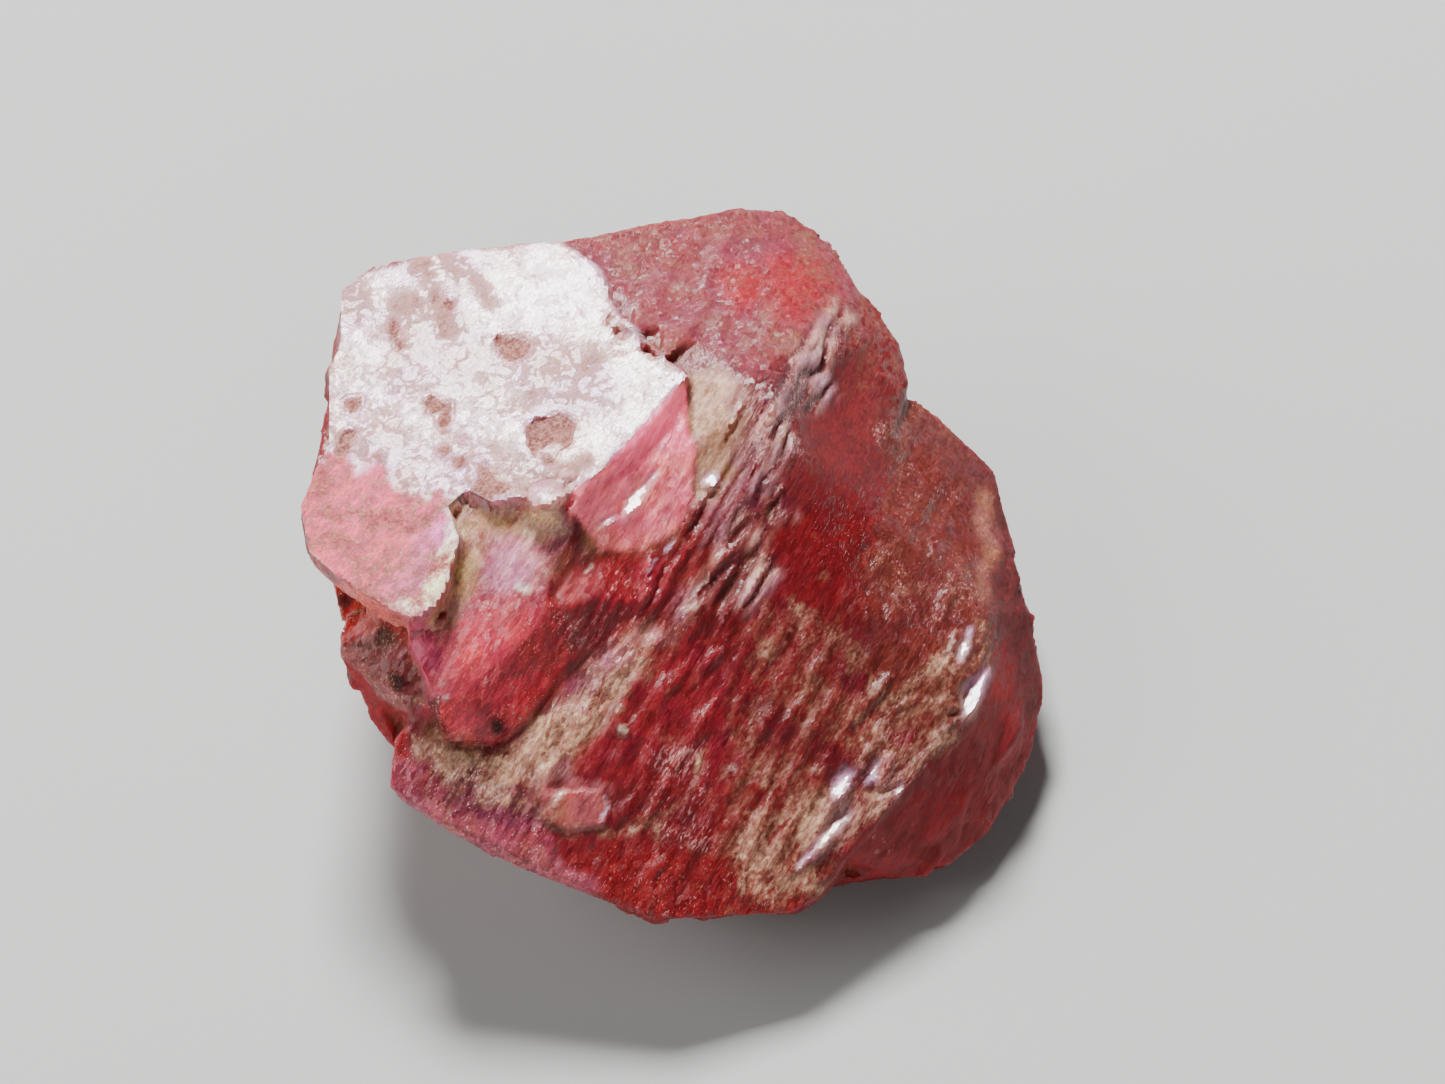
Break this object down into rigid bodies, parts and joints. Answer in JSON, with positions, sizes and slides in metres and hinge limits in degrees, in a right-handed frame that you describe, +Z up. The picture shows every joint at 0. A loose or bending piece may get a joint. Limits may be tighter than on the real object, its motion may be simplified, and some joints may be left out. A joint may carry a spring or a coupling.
{
  "type": "rhodonite crystal",
  "caption": "Broken crystal of rhodonite: flat stepped cleavage plates on one side of the top, a long splintered face falling to the front, a low lobe on the right and a flat rest face below.",
  "frame": {"origin": "on the surface that the stone rests on, under the middle of its outline", "axes": "+Z up from the rest face, +X towards the low lobe, -Y towards the falling splintered face"},
  "size_m": [0.018, 0.0186, 0.0089],
  "materials": {
    "rhodonite": "vitreous, translucent at thin edges"
  },
  "bodies": {
    "root": {"rhodonite_crystal": "rhodonite"}
  },
  "joints": []
}
